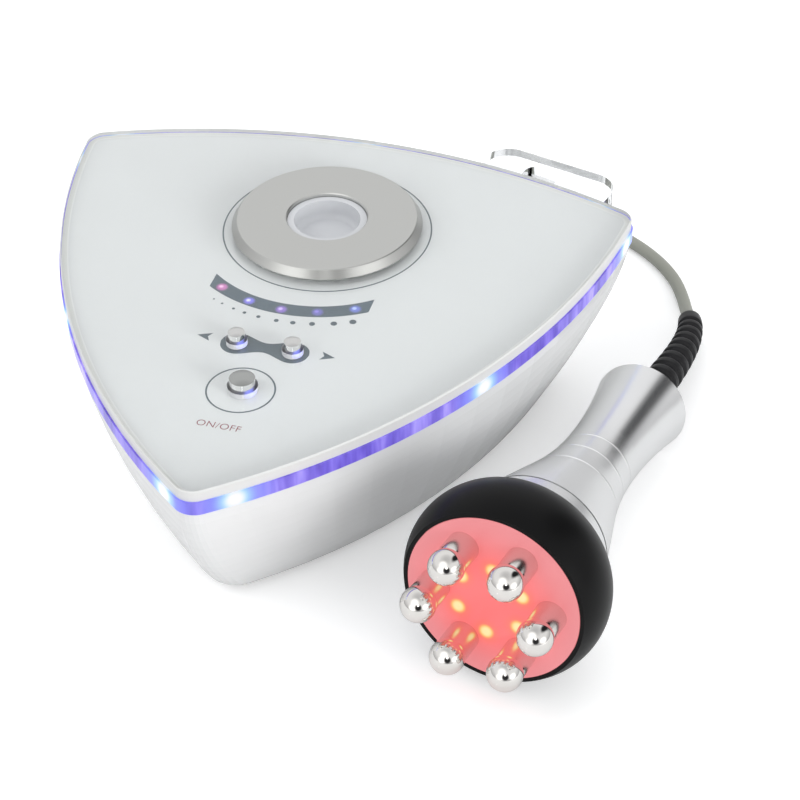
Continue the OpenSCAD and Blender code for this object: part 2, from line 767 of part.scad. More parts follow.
bezel_rear_r = bezel_ring_r + sqrt(pow(bezel_tube_r, 2) - pow(bezel_end - bezel_mid, 2));
shelf_w = 3.4;
shelf_t = 2.5;
bezel_back = 2.8;
spigot_r = 22.2;
module bezel_disc(inset, low, high) intersection() {
    union() {
        translate([bezel_ring_r, bezel_mid]) circle(bezel_tube_r - inset, $fn = 180);
        translate([0, bezel_mid - bezel_tube_r + inset])
            square([bezel_ring_r, 2 * (bezel_tube_r - inset)]);
    }
    translate([0, low]) square([60, high - low]);
}
module head_bezel() color("black") at_handpiece() rotate_extrude($fn = 128) difference() {
    bezel_disc(0, 0, bezel_end);
    bezel_disc(bezel_wall, disc_t + shelf_t, bezel_end - bezel_back);
    translate([0, -1]) square([disc_r + seat_gap, disc_t + 1]);
    square([disc_r - shelf_w, disc_t + shelf_t + eps]);
    translate([0, bezel_end / 2]) square([spigot_r + seat_gap, bezel_end]);
}

electrodes_at = [for (k = [0:5]) polar(electrode_ring_r, electrode_turn + 60 * k)];
board_depth = disc_t + shelf_t;
module stud_holes(low, high) {
    for (p = electrodes_at)
        translate([p[0], p[1], low - 1]) cylinder(h = high - low + 2, r = stud_r + shank_gap);
}

module diffuser_disc() color("salmon") at_handpiece() difference() {
    cylinder(h = disc_t, r = disc_r, $fn = 128);
    stud_holes(0, disc_t);
}

module electrodes() color("silver") at_handpiece()
    for (p = electrodes_at)
        translate([p[0], p[1], 0]) union() {
            translate([0, 0, -ball_h]) sphere(ball_r);
            translate([0, 0, -ball_h]) cylinder(h = ball_h, r = post_ball_r);
            translate([0, 0, -1]) cylinder(h = board_depth + board_t + 4.2, r = stud_r);
        }

module electrode_nuts() color("goldenrod") at_handpiece()
    for (p = electrodes_at)
        translate([p[0], p[1], board_depth + board_t]) difference() {
            cylinder(h = 2.2, r = 4, $fn = 6);
            translate([0, 0, -1]) cylinder(h = 5, r = stud_r + shank_gap);
        }

module head_board() color("darkgreen") at_handpiece() difference() {
    translate([0, 0, board_depth]) cylinder(h = board_t, r = disc_r - 0.8);
    stud_holes(board_depth, board_depth + board_t);
}

head_led = [3.5, 3.5, 2];
module head_leds() color("khaki") at_handpiece()
    for (k = [0:5])
        rotate(electrode_turn + 30 + 60 * k)
            translate([head_led_ring_r - head_led[0] / 2, -head_led[1] / 2,
                    board_depth - head_led[2]])
                cube(head_led);

flange_bore = 18;
neck_r = handle_r(handle_start) - 1;
tail_r = handle_r(handle_start + 5) - handle_wall - 0.4;
module head_flange() color("lightgray") at_handpiece() rotate_extrude($fn = 128) polygon([
    [flange_bore, bezel_end - bezel_back - 1.5], [spigot_r, bezel_end - bezel_back - 1.5],
    [spigot_r, bezel_end], [bezel_rear_r - 0.3, bezel_end], [bezel_rear_r, bezel_end + 0.3],
    [handle_r(flange_end), flange_end - 0.3], [handle_r(flange_end) - 0.3, flange_end],
    [neck_r, flange_end], [neck_r, handle_start], [tail_r, handle_start],
    [tail_r, handle_start + 5], [flange_bore, handle_start + 5]
]);

neck_in_r = 6;
module rear_cap() color("black") at_handpiece() difference() {
    translate([0, 0, cap_seat]) cylinder(h = cap_t, r = cap_r, $fn = 96);
    translate([0, 0, cap_seat - 1]) cylinder(h = cap_t + 2, r = neck_in_r + seat_gap);
}

grip_t = 3;
grip_z = cap_seat - seat_gap - grip_t;
wires_z = board_depth + board_t;
module wire_bundle() color("indianred") at_handpiece() union() {
    translate([-5, -3, wires_z]) cube([10, 6, 5]);
    translate([0, 0, wires_z + 4]) cylinder(h = grip_z - wires_z - 4, r = 2.4);
}

// ---- Tubes swept along points ----
function unit(v) = v / norm(v);
// Ring of n points round p, square to the way w
function tube_ring(p, w, r, n) =
    let (s = unit(cross([0, 0, 1], w)), u = cross(unit(w), s))
        [for (i = [0:n - 1]) p + r * cos(360 * i / n) * s + r * sin(360 * i / n) * u];
// Way of a route at each of its points; ends gives the ways at its two ends
function ways(pts, ends) =
    [for (i = [0:len(pts) - 1])
        i == 0 ? ends[0] : i == len(pts) - 1 ? ends[1] : unit(pts[i + 1] - pts[i - 1])];
module tube(pts, ends, r, n) {
    w = ways(pts, ends);
    skin([for (i = [0:len(pts) - 1]) tube_ring(pts[i], w[i], r, n)]);
}
function total(v, i = 0) = i < len(v) ? v[i] + total(v, i + 1) : 0;
function route_length(pts) = total([for (i = [1:len(pts) - 1]) norm(pts[i] - pts[i - 1])]);
function bezier(q, t) =
    pow(1 - t, 3) * q[0] + 3 * t * pow(1 - t, 2) * q[1] + 3 * t * t * (1 - t) * q[2]
        + pow(t, 3) * q[3];
function bezier_way(q, t) =
    unit(pow(1 - t, 2) * (q[1] - q[0]) + 2 * t * (1 - t) * (q[2] - q[1]) + t * t * (q[3] - q[2]));
function way(turn, drop) = [cos(turn) * cos(drop), sin(turn) * cos(drop), -sin(drop)];

// ---- Strain relief: leaves the handle straight, then bends down to the table ----
boot_start = [head_at[0], head_at[1], head_z] + (cap_seat + cap_t) * way(heading, tilt);
boot_end = boot_start + [8.8, 75.6, -10.8];
boot_way = way(104, 14);
boot_curve = [boot_start, boot_start + 28 * way(heading, tilt), boot_end - 24 * boot_way, boot_end];
boot_plain = [0.13, 0.93];
boot_sides = 16;
function boot_ring(t, cut) =
    tube_ring(bezier(boot_curve, t), bezier_way(boot_curve, t),
        boot_r + (boot_tip_r - boot_r) * t - cut, boot_sides);
function neck_ring(s, r) =
    tube_ring([head_at[0], head_at[1], head_z] + s * way(heading, tilt), way(heading, tilt), r,
        boot_sides);
module strain_relief() color("black") at_console() {
    pitch = (boot_plain[1] - boot_plain[0]) / boot_cuts;
    skin(concat(
        [neck_ring(grip_z, neck_in_r + 2.5), neck_ring(grip_z + grip_t, neck_in_r + 2.5),
            neck_ring(grip_z + grip_t, neck_in_r), neck_ring(cap_seat + cap_t, neck_in_r),
            neck_ring(cap_seat + cap_t, boot_r - 0.5)],
        [boot_ring(0.01, 0), boot_ring(0.07, 0)],
        [for (k = [0:boot_cuts - 1], f = [[0, 0], [0.12, 1], [0.4, 1], [0.52, 0]])
            boot_ring(boot_plain[0] + (k + f[0]) * pitch, cut_deep * f[1])],
        [boot_ring(boot_plain[1], 0), boot_ring(0.99, 0), boot_ring(1, 0.4)]
    ));
}

// ---- Cord: along the table from the strain relief, wound up behind the console ----
cord_r = cord_d / 2;
lead_at = concat([boot_end], [
    [138.3, 105.5, 4.9], [135.4, 115.6, 3], [130.8, 126, 2.8], [124.2, 135.6, 2.8],
    [115.6, 144.4, 2.8], [105.4, 152, 2.8], [94.5, 157.8, 2.8], [83, 161.5, 2.8],
    [71.5, 163.6, 2.8], [60, 164.6, 2.8], [48, 165, 3.2], [36, 164.8, 4.6],
    [24, 164.3, 6.9], [14, 163.8, 8.5], [6, 163.5, 8.9]
]);
plug_y = recess_y + lip_t + seat_gap;
tail_start = [socket_at[0], plug_y + plug_l + plug_relief_l, socket_at[1]];
tail_at = concat([tail_start], [
    [-48, 111, 20.9], [-47.9, 118.5, 17.6], [-47.5, 125, 12.9], [-46.2, 131.5, 8.2],
    [-43.7, 138.5, 4.7], [-39.6, 145.5, 3.1], [-34.2, 151.8, 2.8], [-27.6, 157.2, 2.8],
    [-20, 161.2, 2.8], [-12.8, 163.1, 2.8], [-6, 163.5, 2.8]
]);

// Coil of two layers, wound inwards on the table and out again on top
coil_at = [0, 125];
coil_r = 38.5;
coil_turns = 6;
coil_pitch = 6.1;
coil_steps = 24;
coil_low = 2.8;
coil_n = coil_turns * coil_steps;
function coil_point(k) =
    let (
        turn = k / coil_steps - coil_turns / 2,
        r = coil_r - coil_pitch * (coil_turns / 2 - abs(turn)),
        up = min(max(turn * 2 + 0.5, 0), 1)
    )
        [coil_at[0] + r * sin(360 * turn), coil_at[1] + r * cos(360 * turn),
            coil_low + coil_pitch * up];
coil_path = concat([tail_at[len(tail_at) - 1]], [for (k = [0:coil_n]) coil_point(k)],
    [lead_at[len(lead_at) - 1]]);

module cord_lead() color("darkgray") at_console()
    tube(lead_at, [boot_way, [-1, 0, 0]], cord_r, 10);
module cord_tail() color("darkgray") at_console()
    tube(tail_at, [[0, 1, 0], [1, 0, 0]], cord_r, 10);
module cord_coil() color("darkgray") at_console()
    tube(coil_path, [[1, 0, 0], [1, 0, 0]], cord_r, 6);

// Least gap between turns, leaving out each point's own neighbourhood
coil_gap = min([for (i = [0:coil_n - 8], j = [i + 8:coil_n])
    norm(coil_point(i) - coil_point(j))]) - cord_d;
echo(coil_gap = coil_gap);
echo(cord_length = route_length(lead_at) + route_length(tail_at) + route_length(coil_path));

// ---- Plug on the socket, and its relief ----
module at_plug() at_console() translate([socket_at[0], plug_y, socket_at[1]])
    rotate([-90, 0, 0]) children();
module cord_plug() color("silver") at_plug() difference() {
    rotate_extrude($fn = 96) polygon([
        [0, 0], [plug_r - 0.5, 0], [plug_r, 0.5], [plug_r, 11.5], [plug_r - 0.5, 12],
        [plug_r - 1, 12], [plug_r - 1, plug_l - 3], [plug_r - 2.5, plug_l], [0, plug_l]
    ]);
    translate([0, 0, -1]) cylinder(h = thread_out + 1, r = socket_r + shank_gap);
}
module plug_relief() color("black") at_plug() rotate_extrude($fn = 48) polygon(concat(
    [[0, plug_l], [6, plug_l], [6, plug_l + 3]],
    [for (k = [0:4], f = [[0, 0], [0.3, 0.7], [1.4, 0.7], [1.7, 0]])
        [6 - k * 0.45 - f[1], plug_l + 4 + k * 3.2 + f[0]]],
    [[3.8, plug_l + plug_relief_l - 1], [3.5, plug_l + plug_relief_l],
        [0, plug_l + plug_relief_l]]
));

lower_housing();
light_band();
band_strip();
band_leds();
top_frame();
printed_film();
top_panel();
metal_ring();
centre_cup();
on_off_button();
level_down_button();
level_up_button();
control_board();
key_switches();
level_lamps();
ribbon_cable();
main_board();
rf_transformer();
heat_sink();
capacitors();
board_screws();
housing_screws();
rubber_feet();
handpiece_socket();
socket_nut();
power_inlet();
handpiece_holder();
head_bezel();
diffuser_disc();
electrodes();
electrode_nuts();
head_board();
head_leds();
head_flange();
handle_shell();
rear_cap();
wire_bundle();
strain_relief();
cord_lead();
cord_coil();
cord_tail();
cord_plug();
plug_relief();
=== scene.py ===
"""Facial toning device on a plain white table: looks, light and camera."""
import math

import bpy
from mathutils import Matrix, Vector


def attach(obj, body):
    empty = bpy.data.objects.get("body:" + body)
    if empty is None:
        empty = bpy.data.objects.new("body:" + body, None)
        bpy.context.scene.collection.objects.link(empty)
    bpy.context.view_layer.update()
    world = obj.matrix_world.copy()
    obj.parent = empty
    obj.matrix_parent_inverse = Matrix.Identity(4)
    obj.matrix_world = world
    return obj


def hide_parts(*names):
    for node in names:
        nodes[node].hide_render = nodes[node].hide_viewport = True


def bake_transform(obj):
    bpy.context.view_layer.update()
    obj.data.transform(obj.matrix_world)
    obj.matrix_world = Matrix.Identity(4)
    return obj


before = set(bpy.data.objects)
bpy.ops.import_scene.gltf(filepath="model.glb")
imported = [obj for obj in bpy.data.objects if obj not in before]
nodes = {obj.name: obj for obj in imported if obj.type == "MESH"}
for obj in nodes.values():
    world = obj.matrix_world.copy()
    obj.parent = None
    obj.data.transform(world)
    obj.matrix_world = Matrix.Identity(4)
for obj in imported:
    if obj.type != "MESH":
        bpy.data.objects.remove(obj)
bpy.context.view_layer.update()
scene = bpy.context.scene
scene.view_settings.view_transform = "Standard"

MM = 0.001
BLACK = (0.0, 0.0, 0.0)
CONSOLE = Vector((-16.9, 12.29, 0.0))
# Sizes and places below are in mm, in the console's own frame, as in the CAD source.
PANEL_Z = 71.5                  # underside of the clear panel, where the print shows
RING_AT = (0.0, 29.0)           # middle of the metal ring
SWITCH_Y = -75                  # the on/off button stands on the console's middle line
LEVEL_X, LEVEL_Y = 10.9, -50    # the level buttons, at either side of it
HEADING = 78.4                  # way that the handpiece points, from its face to its cord
HANDLE_END = 143.5              # its length behind the disc's face


def at(x, y, z):
    """A point of the console's own frame, in mm, as a point of the row in metres."""
    return (Vector((x, y, z)) + CONSOLE) * MM


def add_object(name, data):
    """A new object in the scene."""
    obj = bpy.data.objects.new(name, data)
    scene.collection.objects.link(obj)
    return obj


def on_circle(cx, cy, r, deg):
    """The point at an angle on a circle."""
    return (cx + r * math.cos(math.radians(deg)), cy + r * math.sin(math.radians(deg)))


# ---- Camera, fitted to the photo ----
def make_camera():
    data = bpy.data.cameras.new("camera")
    data.sensor_width = 36.0
    data.lens = 87.3825
    data.clip_start = 0.05
    data.clip_end = 50.0
    cam = add_object("camera", data)
    right = Vector((0.963866, 0.266349, -0.004553))
    up = Vector((-0.168266, 0.621996, 0.764727))
    ahead = Vector((-0.206517, 0.736328, -0.644339))
    m = Matrix((right, up, -ahead)).transposed().to_4x4()
    m.translation = Vector((0.183147, -0.566006, 0.522209))
    cam.matrix_world = m
    scene.camera = cam


make_camera()


# ---- Meshes ----
def new_piece(name, verts, faces, mat, smooth=False, body="root"):
    """A mesh of one material, riding on a body unless body is None."""
    mesh = bpy.data.meshes.new(name)
    mesh.from_pydata([tuple(v) for v in verts], [], faces)
    mesh.update()
    if smooth:
        mesh.polygons.foreach_set("use_smooth", [True] * len(mesh.polygons))
    mesh.materials.append(mat)
    obj = add_object(name, mesh)
    if body:
        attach(obj, body)
    return obj


def sweep(path, radii, sides):
    """Rings of verts round a path of Vectors, the faces between them and both tips."""
    verts, faces = [], []
    last = len(path) - 1
    for i, p in enumerate(path):
        way = (path[min(i + 1, last)] - path[max(i - 1, 0)]).normalized()
        side = Vector((0, 0, 1)).cross(way).normalized()
        up = way.cross(side)
        r = radii[i] if isinstance(radii, list) else radii
        for k in range(sides):
            a = 2 * math.pi * k / sides
            verts.append(p + side * (r * math.cos(a)) + up * (r * math.sin(a)))
    for i in range(last):
        for k in range(sides):
            n = (k + 1) % sides
            faces.append((i * sides + k, i * sides + n, (i + 1) * sides + n, (i + 1) * sides + k))
    faces.append(tuple(range(sides - 1, -1, -1)))
    faces.append(tuple(last * sides + k for k in range(sides)))
    return verts, faces


def catmull(points, steps):
    """A smooth line through points, with steps stretches between neighbours."""
    out = []
    n = len(points)
    for i in range(n - 1):
        p0 = points[max(i - 1, 0)]
        p1, p2 = points[i], points[i + 1]
        p3 = points[min(i + 2, n - 1)]
        for s in range(steps):
            t = s / steps
            out.append(0.5 * ((2 * p1) + (p2 - p0) * t + (2 * p0 - 5 * p1 + 4 * p2 - p3) * t * t
                              + (3 * p1 - p0 - 3 * p2 + p3) * t ** 3))
    out.append(points[-1])
    return out


# ---- Materials ----
def new_material(name):
    """A material, its node tree and its main shader."""
    mat = bpy.data.materials.new(name)
    mat.use_nodes = True
    return mat, mat.node_tree, mat.node_tree.nodes["Principled BSDF"]


def coords(nt, scale=(1, 1, 1)):
    """Object coordinates, stretched by scale."""
    tex = nt.nodes.new("ShaderNodeTexCoord")
    mapping = nt.nodes.new("ShaderNodeMapping")
    mapping.inputs["Scale"].default_value = scale
    nt.links.new(tex.outputs["Object"], mapping.inputs["Vector"])
    return mapping.outputs["Vector"]


def noise(nt, scale, detail=2.0, rough=0.5, stretch=(1, 1, 1)):
    """A noise value from 0 to 1."""
    n = nt.nodes.new("ShaderNodeTexNoise")
    n.inputs["Scale"].default_value = scale
    n.inputs["Detail"].default_value = detail
    n.inputs["Roughness"].default_value = rough
    nt.links.new(coords(nt, stretch), n.inputs["Vector"])
    return n.outputs["Fac"]


def ramp(nt, fac, stops):
    """A colour ramp through stops of (place, colour)."""
    r = nt.nodes.new("ShaderNodeValToRGB")
    els = r.color_ramp.elements
    while len(els) < len(stops):
        els.new(0.5)
    for e, (pos, col) in zip(els, stops):
        e.position = pos
        e.color = (*col, 1.0)
    nt.links.new(fac, r.inputs["Fac"])
    return r.outputs["Color"]


def spread(nt, fac, low, high):
    """Maps 0..1 onto low..high."""
    m = nt.nodes.new("ShaderNodeMapRange")
    m.inputs["To Min"].default_value = low
    m.inputs["To Max"].default_value = high
    nt.links.new(fac, m.inputs["Value"])
    return m.outputs["Result"]


def bump(nt, bsdf, height, strength, distance=0.0002):
    """Fine relief from a height value; distance is in metres."""
    b = nt.nodes.new("ShaderNodeBump")
    b.inputs["Strength"].default_value = strength
    b.inputs["Distance"].default_value = distance
    nt.links.new(height, b.inputs["Height"])
    nt.links.new(b.outputs["Normal"], bsdf.inputs["Normal"])


def tint(color, f):
    """The colour made lighter or darker by a factor."""
    return tuple(min(1.0, c * f) for c in color)


def moulded(name, color, rough, rough_span=0.04, grain=900.0, grain_depth=0.02, coat=0.0,
            metal=0.0, patch=0.03, shine=0.5, ior=1.5):
    """A moulded or lacquered surface: fine grain, slight unevenness of colour and gloss."""
    mat, nt, bsdf = new_material(name)
    bsdf.inputs["Specular IOR Level"].default_value = shine
    bsdf.inputs["IOR"].default_value = ior
    bsdf.inputs["Metallic"].default_value = metal
    bsdf.inputs["Coat Weight"].default_value = coat
    broad = noise(nt, 18.0, 3.0)
    nt.links.new(ramp(nt, broad, [(0.3, tint(color, 1 - patch)), (0.7, tint(color, 1 + patch))]),
                 bsdf.inputs["Base Color"])
    nt.links.new(spread(nt, broad, rough - rough_span, rough + rough_span),
                 bsdf.inputs["Roughness"])
    bump(nt, bsdf, noise(nt, grain, 2.0), grain_depth)
    return mat


def vector_math(nt, operation, vector, other=None):
    """A Vector Math node on one vector and, if given, a constant."""
    node = nt.nodes.new("ShaderNodeVectorMath")
    node.operation = operation
    nt.links.new(vector, node.inputs[0])
    if other is not None:
        node.inputs[1].default_value = other
    return node


def value_math(nt, operation, a, b):
    """A Math node on a value and another value or a constant."""
    node = nt.nodes.new("ShaderNodeMath")
    node.operation = operation
    nt.links.new(a, node.inputs[0])
    if isinstance(b, float):
        node.inputs[1].default_value = b
    else:
        nt.links.new(b, node.inputs[1])
    return node.outputs["Value"]


def fade(nt, value, start, end, curve):
    """0 where the value is at start, 1 where it is at end."""
    m = nt.nodes.new("ShaderNodeMapRange")
    m.interpolation_type = curve
    m.inputs["From Min"].default_value = start
    m.inputs["From Max"].default_value = end
    nt.links.new(value, m.inputs["Value"])
    return m.outputs["Result"]


def glow_points(nt, points, inner, outer):
    """1 within inner of the nearest of the points, falling to 0 at outer, in metres."""
    place = nt.nodes.new("ShaderNodeTexCoord").outputs["Object"]
    total = None
    for p in points:
        far = vector_math(nt, "DISTANCE", place, p).outputs["Value"]
        near = fade(nt, far, outer, inner, "SMOOTHERSTEP")
        total = near if total is None else value_math(nt, "MAXIMUM", total, near)
    return total


def mix_color(nt, fac, a, b):
    """Colour a where fac is 0 and b where it is 1; each a colour or a socket."""
    m = nt.nodes.new("ShaderNodeMix")
    m.data_type = "RGBA"
    nt.links.new(fac, m.inputs["Factor"])
    for value, socket in ((a, m.inputs[6]), (b, m.inputs[7])):
        if isinstance(value, tuple):
            socket.default_value = (*value, 1.0)
        else:
            nt.links.new(value, socket)
    return m.outputs[2]


def clear_material(name, color):
    """Clear acrylic that lets the lamps' light through to what lies under it."""
    mat, nt, bsdf = new_material(name)
    bsdf.inputs["Transmission Weight"].default_value = 1.0
    bsdf.inputs["IOR"].default_value = 1.49
    bsdf.inputs["Base Color"].default_value = (*color, 1.0)
    nt.links.new(spread(nt, noise(nt, 40.0, 2.0), 0.0, 0.015), bsdf.inputs["Roughness"])
    light = nt.nodes.new("ShaderNodeLightPath")
    through = nt.nodes.new("ShaderNodeBsdfTransparent")
    through.inputs["Color"].default_value = (*tint(color, 0.97), 1.0)
    mix = nt.nodes.new("ShaderNodeMixShader")
    nt.links.new(light.outputs["Is Shadow Ray"], mix.inputs[0])
    nt.links.new(bsdf.outputs["BSDF"], mix.inputs[1])
    nt.links.new(through.outputs["BSDF"], mix.inputs[2])
    nt.links.new(mix.outputs["Shader"], nt.nodes["Material Output"].inputs["Surface"])
    return mat


# ---- Console outline: three bowed edges and three round corners ----
# Distance between the points where the edge arcs would meet, their bulge as a share of
# it, and the corners' radius; then radius and centre of the arcs, and half a corner's turn.
SIDE, BULGE, CORNER_R = 235.0, 0.108, 8.0
REACH = SIDE / (2 * math.sqrt(3)) + BULGE * SIDE
EDGE_R = (SIDE ** 2 / 4 + (BULGE * SIDE) ** 2) / (2 * BULGE * SIDE)
EDGE_C = EDGE_R - REACH
CORNER_C = (math.sqrt(4 * (EDGE_R - CORNER_R) ** 2 - 3 * EDGE_C ** 2) - EDGE_C) / 2
HALF = math.atan(EDGE_C * math.sin(math.radians(60)) / (CORNER_C + EDGE_C / 2))


def edge_point(edge, share, inset):
    """A point on an edge's arc, from 0 at one end to 1 at the other, moved inwards."""
    base = math.radians(120 * edge - 30)
    a = math.radians(120 * edge - 90) + HALF + (math.radians(120) - 2 * HALF) * share
    return (-EDGE_C * math.cos(base) + (EDGE_R - inset) * math.cos(a),
            -EDGE_C * math.sin(base) + (EDGE_R - inset) * math.sin(a))


# ---- Light band: violet glow with a bright spot at each LED ----
BAND_Z = 68.7           # middle of the band
BAND_SPOTS = [at(*edge_point(i, share, 0.5), BAND_Z)
              for i in range(3) for share in (0.05, 0.51, 0.97)]


def band_material():
    """Uneven violet, blue near each LED and white in its middle."""
    mat, nt, bsdf = new_material("band_violet")
    streak = noise(nt, 110.0, 3.0, 0.6, (1, 1, 0.15))
    base = ramp(nt, streak, [(0.33, (0.045, 0.030, 0.33)), (0.46, (0.13, 0.095, 0.58)),
                             (0.56, (0.22, 0.17, 0.72)), (0.70, (0.42, 0.36, 0.92))])
    near = glow_points(nt, BAND_SPOTS, 0.003, 0.020)
    hot = glow_points(nt, BAND_SPOTS, 0.0020, 0.0095)
    core = glow_points(nt, BAND_SPOTS, 0.0016, 0.0056)
    mixed = mix_color(nt, near, base, (0.20, 0.27, 0.95))
    mixed = mix_color(nt, hot, mixed, (0.40, 0.80, 1.0))
    mixed = mix_color(nt, core, mixed, (1.0, 1.0, 1.0))
    nt.links.new(mixed, bsdf.inputs["Emission Color"])
    bsdf.inputs["Emission Strength"].default_value = 0.9
    bsdf.inputs["Base Color"].default_value = (0.07, 0.05, 0.20, 1.0)
    bsdf.inputs["Roughness"].default_value = 0.12
    return mat


# ---- Metals ----
def turned_metal(name, color, rough, centre):
    """Fine concentric lines from turning, about a vertical axis through centre."""
    mat, nt, bsdf = new_material(name)
    bsdf.inputs["Metallic"].default_value = 1.0
    place = nt.nodes.new("ShaderNodeTexCoord").outputs["Object"]
    away = vector_math(nt, "SUBTRACT", place, centre).outputs["Vector"]
    flat = vector_math(nt, "MULTIPLY", away, (1, 1, 0)).outputs["Vector"]
    lines = nt.nodes.new("ShaderNodeTexNoise")
    lines.noise_dimensions = "1D"
    lines.inputs["Scale"].default_value = 9000.0
    nt.links.new(vector_math(nt, "LENGTH", flat).outputs["Value"], lines.inputs["W"])
    fac = lines.outputs["Fac"]
    nt.links.new(ramp(nt, fac, [(0.3, tint(color, 0.95)), (0.7, tint(color, 1.05))]),
                 bsdf.inputs["Base Color"])
    nt.links.new(spread(nt, fac, rough - 0.04, rough + 0.04), bsdf.inputs["Roughness"])
    bump(nt, bsdf, fac, 0.05)
    return mat


def chrome(name, color, rough):
    """Polished or plated metal with a slight unevenness."""
    mat, nt, bsdf = new_material(name)
    bsdf.inputs["Metallic"].default_value = 1.0
    fac = noise(nt, 60.0, 4.0)
    nt.links.new(ramp(nt, fac, [(0.35, tint(color, 0.97)), (0.65, color)]),
                 bsdf.inputs["Base Color"])
    nt.links.new(spread(nt, fac, rough, rough + 0.03), bsdf.inputs["Roughness"])
    return mat


def cap_painted_reflection(name, painted_crown):
    """Polished cap with a painted reflection: its crown is painted darker than its sides."""
    mat, nt, bsdf = new_material(name)
    bsdf.inputs["Metallic"].default_value = 1.0
    geo = nt.nodes.new("ShaderNodeNewGeometry")
    sep = nt.nodes.new("ShaderNodeSeparateXYZ")
    nt.links.new(geo.outputs["Normal"], sep.inputs["Vector"])
    # Painted reflection, by how far the face points up: bright sides, a dark band, a darker crown
    nt.links.new(ramp(nt, sep.outputs["Z"], [(0.30, (0.84, 0.84, 0.83)), (0.55, tint(painted_crown, 0.35)),
                                             (0.80, painted_crown), (1.0, tint(painted_crown, 1.15))]),
                 bsdf.inputs["Base Color"])
    nt.links.new(spread(nt, noise(nt, 60.0, 4.0), 0.06, 0.10), bsdf.inputs["Roughness"])
    return mat


# Each button's place, and how far from it the light leaks in
CAPS = [(0, SWITCH_Y, 6.6), (-LEVEL_X, LEVEL_Y, 5.2), (LEVEL_X, LEVEL_Y, 5.2)]


def hole_material():
    """Pale walls of the button holes, with violet light leaking in at one side."""
    mat, nt, bsdf = new_material("button_hole")
    bsdf.inputs["Base Color"].default_value = (0.74, 0.74, 0.76, 1.0)
    nt.links.new(spread(nt, noise(nt, 300.0), 0.3, 0.4), bsdf.inputs["Roughness"])
    leaks = [at(x + 0.8 * r, y - 0.55 * r, PANEL_Z + 3) for x, y, r in CAPS]
    violet = mix_color(nt, glow_points(nt, leaks, 0.001, 0.0045), BLACK, (0.16, 0.20, 0.95))
    nt.links.new(violet, bsdf.inputs["Emission Color"])
    bsdf.inputs["Emission Strength"].default_value = 0.8
    return mat


M = {
    "housing": moulded("housing_white", (0.74, 0.745, 0.745), 0.25, coat=0.15),
    "panel": clear_material("clear_panel", (0.97, 0.985, 0.985)),
    "film": moulded("film_white", (0.738, 0.744, 0.744), 0.5, patch=0.006),
    # Under the clear rim: a strip paler than the film, and in it a painted highlight, a still
    # paler line along the panel's edge
    "border": moulded("film_border", (0.79, 0.79, 0.765), 0.5, patch=0.006),
    "line": moulded("film_edge_highlight", (0.86, 0.86, 0.85), 0.5, patch=0.006),
    "print": moulded("print_slate", (0.058, 0.088, 0.108), 0.5, patch=0.02),
    "red": moulded("print_red", (0.24, 0.012, 0.03), 0.5, patch=0.02),
    "band": band_material(),
    "ring": turned_metal("ring_satin", (0.575, 0.58, 0.56), 0.30, at(*RING_AT, 0)),
    "cup": moulded("cup_frost", (0.62, 0.63, 0.65), 0.45, patch=0.01),
    # The caps' crowns are painted darker than their sides: a painted reflection
    "switch_cap": cap_painted_reflection("switch_cap", (0.36, 0.37, 0.36)),
    "level_cap": cap_painted_reflection("level_cap", (0.58, 0.58, 0.57)),
    "rim": moulded("panel_rim", (0.68, 0.68, 0.67), 0.30, patch=0.01),
    "hole": hole_material(),
    "board": moulded("board_green", (0.02, 0.10, 0.05), 0.4),
    "dark": moulded("part_dark", (0.03, 0.03, 0.032), 0.45),
    "copper": moulded("coil_copper", (0.62, 0.27, 0.12), 0.35, metal=0.8),
    "sink": moulded("sink_aluminium", (0.62, 0.62, 0.63), 0.35, metal=1.0),
    "screw": chrome("screw_steel", (0.55, 0.55, 0.56), 0.25),
    "rubber": moulded("rubber_black", (0.012, 0.012, 0.013), 0.42, grain=1400.0, grain_depth=0.08,
                      shine=0.22),
    "cord": moulded("cord_grey", (0.30, 0.305, 0.265), 0.45, grain=1200.0, grain_depth=0.05),
    "plug": chrome("plug_nickel", (0.62, 0.61, 0.58), 0.22),
    "holder": clear_material("clear_holder", (0.95, 0.97, 0.98)),
    "bezel": moulded("bezel_black", (0.004, 0.004, 0.0042), 0.34, 0.03, 1600.0, 0.05, ior=1.22),
    "brass": chrome("nut_brass", (0.72, 0.55, 0.26), 0.3),
    "silver": moulded("handle_silver", (0.83, 0.835, 0.835), 0.26, 0.03, 2400.0, 0.05, metal=1.0),
    "wire": moulded("wire_red", (0.35, 0.04, 0.03), 0.4),
}


# ---- Handpiece: it lies on its bezel and on the rear end of its handle ----
WAIST_R, WAIST_AT, REAR_CURVE = 14.95, 101.0, 225.0
BEZEL_MID, BEZEL_RING_R, BEZEL_TUBE_R = 12.8, 13.5, 24.2
HEAD_OFF = (23.5, -74.3)        # from the console's right-hand corner to the disc's face


def head_frame():
    """Origin and axes of the handpiece: the disc's face, then across, up and back."""
    rear_r = WAIST_R + REAR_CURVE - math.sqrt(REAR_CURVE ** 2 - (HANDLE_END - WAIST_AT) ** 2)
    x, y = HANDLE_END - BEZEL_MID, rear_r - BEZEL_RING_R
    tilt = math.asin(BEZEL_TUBE_R / math.hypot(x, y)) - math.atan(y / x)
    z = HANDLE_END * math.sin(tilt) + rear_r * math.cos(tilt)
    x, y = on_circle(*HEAD_OFF, REACH, -30)
    turn = Matrix.Rotation(math.radians(HEADING), 4, "Z")
    return at(x, y, z), turn @ Matrix.Rotation(math.pi / 2 + tilt, 4, "Y")


HEAD, HEAD_TURN = head_frame()


def on_head(x, y, z):
    """A point of the handpiece's own frame, in mm: z is the depth behind the face."""
    return HEAD + HEAD_TURN @ (Vector((x, y, z)) * MM)


def head_ring(cx, cy, r, first, depth):
    """Six points of the handpiece, evenly spaced on a circle."""
    return [on_head(*on_circle(cx, cy, r, first + 60 * k), depth) for k in range(6)]


GLOW_AT = (1.3, 0.9)            # middle of the six spots, as the photo shows them


